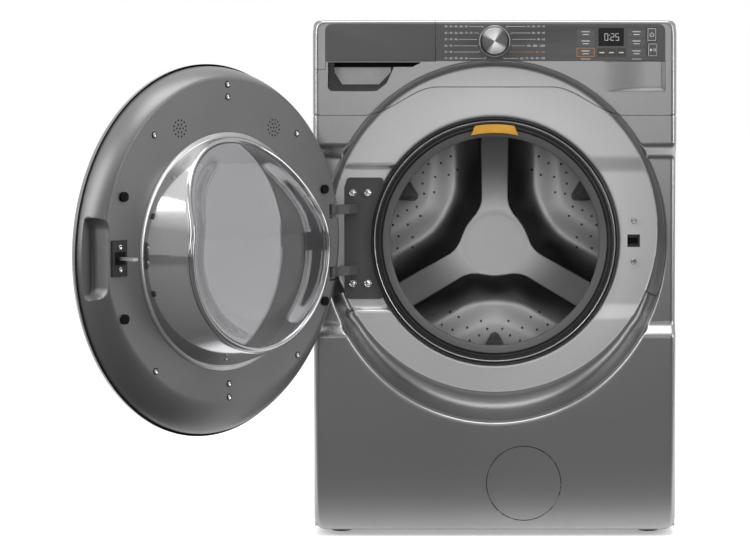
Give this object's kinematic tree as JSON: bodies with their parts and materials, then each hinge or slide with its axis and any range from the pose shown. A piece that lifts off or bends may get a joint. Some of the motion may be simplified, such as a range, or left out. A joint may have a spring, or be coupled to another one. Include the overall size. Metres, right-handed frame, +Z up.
{
  "type": "front load washing machine",
  "caption": "Free-standing front load washing machine with a swing door, tilted drum, detergent drawer and control knob.",
  "frame": {"origin": "on the floor under the middle of the cabinet, half way between the plane of the front panel and the rear panel", "axes": "+Z up, -Y out of the front, +X to the right of a person who faces the front"},
  "size_m": [1.0578, 1.2689, 0.977],
  "materials": {
    "body_metal": "satin metallic grey paint",
    "console_metal": "satin metallic grey paint",
    "galvanised": "galvanised sheet",
    "overlay": "dark printed plastic",
    "display": "black gloss",
    "board": "printed circuit board",
    "chrome": "bright chrome",
    "tray_plastic": "light grey plastic",
    "blue_plastic": "blue grey plastic",
    "drum_steel": "rolled stainless steel",
    "cast_metal": "cast aluminium",
    "tub_plastic": "grey filled polypropylene",
    "bearing_steel": "plain steel",
    "motor_metal": "black paint",
    "rubber": "black rubber",
    "gasket_rubber": "grey rubber",
    "tab_yellow": "yellow orange plastic",
    "concrete": "rough concrete grey",
    "tinted_glass": "dark tinted",
    "clear_glass": "clear moulded glass",
    "door_plastic": "dark grey satin plastic",
    "dark_plastic": "dark grey plastic"
  },
  "bodies": {
    "cabinet": {"front_panel": "body_metal", "left_side_panel": "body_metal", "right_side_panel": "body_metal", "top_panel": "body_metal", "rear_panel": "galvanised", "rear_access_cover": "galvanised", "base_pan": "galvanised", "console_fascia": "console_metal", "control_overlay": "overlay", "display_lens": "display", "control_board": "board", "dispenser_housing": "tray_plastic", "tub_front": "tub_plastic", "tub_rear": "tub_plastic", "drum_bearings": "bearing_steel", "shaft_seal": "rubber", "heating_element": "bearing_steel", "drive_motor": "motor_metal", "drive_belt": "rubber", "counterweights": "concrete", "door_gasket": "gasket_rubber", "gasket_clamp": "chrome", "gasket_tab": "tab_yellow", "hinge_plate": "dark_plastic", "door_lock": "dark_plastic", "cabinet_screws": "chrome", "suspension_springs": "bearing_steel", "suspension_dampers": "motor_metal", "drain_pump": "tub_plastic", "inner_hoses": "rubber", "drain_outlet": "dark_plastic", "inlet_valve": "tray_plastic", "cord_gland": "dark_plastic"},
    "door": {"door_outer_ring": "console_metal", "door_window": "tinted_glass", "door_inner_panel": "door_plastic", "door_glass": "clear_glass", "door_hinge_bracket": "bearing_steel", "door_screws": "chrome", "door_bumpers": "rubber", "latch_plate": "dark_plastic"},
    "latch": {"latch_hook": "bearing_steel"},
    "drum": {"drum_basket": "drum_steel", "drum_back": "drum_steel", "drum_lifters": "drum_steel", "drum_spider": "cast_metal", "drum_pulley": "cast_metal"},
    "motor_rotor": {"motor_pulley": "bearing_steel"},
    "drawer": {"drawer_front": "overlay", "drawer_tray": "tray_plastic", "siphon_caps": "blue_plastic"},
    "knob": {"cycle_knob": "chrome"},
    "power_key": {"power_button": "overlay"},
    "start_key": {"start_button": "overlay"},
    "pump_door": {"filter_cover": "body_metal"},
    "pump_cap": {"filter_cap": "blue_plastic"},
    "foot_a": {"foot_1": "rubber"},
    "foot_b": {"foot_2": "rubber"},
    "foot_c": {"foot_3": "rubber"},
    "foot_d": {"foot_4": "rubber"}
  },
  "joints": [
    {"name": "door_hinge", "type": "hinge", "parent": "cabinet", "child": "door", "pos_m": [-0.308, -0.372, 0.5575], "axis": [0, 0, 1], "range_deg": [0, 129]},
    {"name": "latch_pivot", "type": "hinge", "parent": "door", "child": "latch", "pos_m": [-0.63981, -0.83419, 0.5575], "axis": [0, 0, 1], "range_deg": [-4, 4], "stiffness_Nm_per_rad": 0.5},
    {"name": "drum_spin", "type": "hinge", "parent": "cabinet", "child": "drum", "pos_m": [0, -0.308, 0.557], "axis": [0, 0.998, -0.0628], "continuous": true},
    {"name": "motor_spin", "type": "hinge", "parent": "cabinet", "child": "motor_rotor", "pos_m": [-0.11, -0.33111, 0.18973], "axis": [0, 0.998, -0.0628], "continuous": true},
    {"name": "drawer_slide", "type": "slide", "parent": "cabinet", "child": "drawer", "axis": [0, -1, 0], "range_m": [0, 0.25]},
    {"name": "knob_turn", "type": "hinge", "parent": "cabinet", "child": "knob", "pos_m": [0, -0.37, 0.937], "axis": [0, -1, 0], "continuous": true},
    {"name": "power_press", "type": "slide", "parent": "cabinet", "child": "power_key", "axis": [0, 1, 0], "range_m": [0, 0.0015], "stiffness_N_per_m": 500},
    {"name": "start_press", "type": "slide", "parent": "cabinet", "child": "start_key", "axis": [0, 1, 0], "range_m": [0, 0.0015], "stiffness_N_per_m": 500},
    {"name": "filter_cover_pull", "type": "slide", "parent": "cabinet", "child": "pump_door", "axis": [0, -1, 0], "range_m": [0, 0.018]},
    {"name": "filter_cap_turn", "type": "hinge", "parent": "cabinet", "child": "pump_cap", "pos_m": [0.055, -0.33, 0.101], "axis": [0, -1, 0], "range_deg": [0, 90]},
    {"name": "foot_1_turn", "type": "hinge", "parent": "cabinet", "child": "foot_a", "pos_m": [-0.295, -0.295, 0], "axis": [0, 0, 1], "continuous": true},
    {"name": "foot_2_turn", "type": "hinge", "parent": "cabinet", "child": "foot_b", "pos_m": [-0.295, 0.32, 0], "axis": [0, 0, 1], "continuous": true},
    {"name": "foot_3_turn", "type": "hinge", "parent": "cabinet", "child": "foot_c", "pos_m": [0.295, -0.295, 0], "axis": [0, 0, 1], "continuous": true},
    {"name": "foot_4_turn", "type": "hinge", "parent": "cabinet", "child": "foot_d", "pos_m": [0.295, 0.32, 0], "axis": [0, 0, 1], "continuous": true}
  ],
  "couplings": [
    {"joint": "motor_spin", "follows": "drum_spin", "ratio": 10}
  ]
}
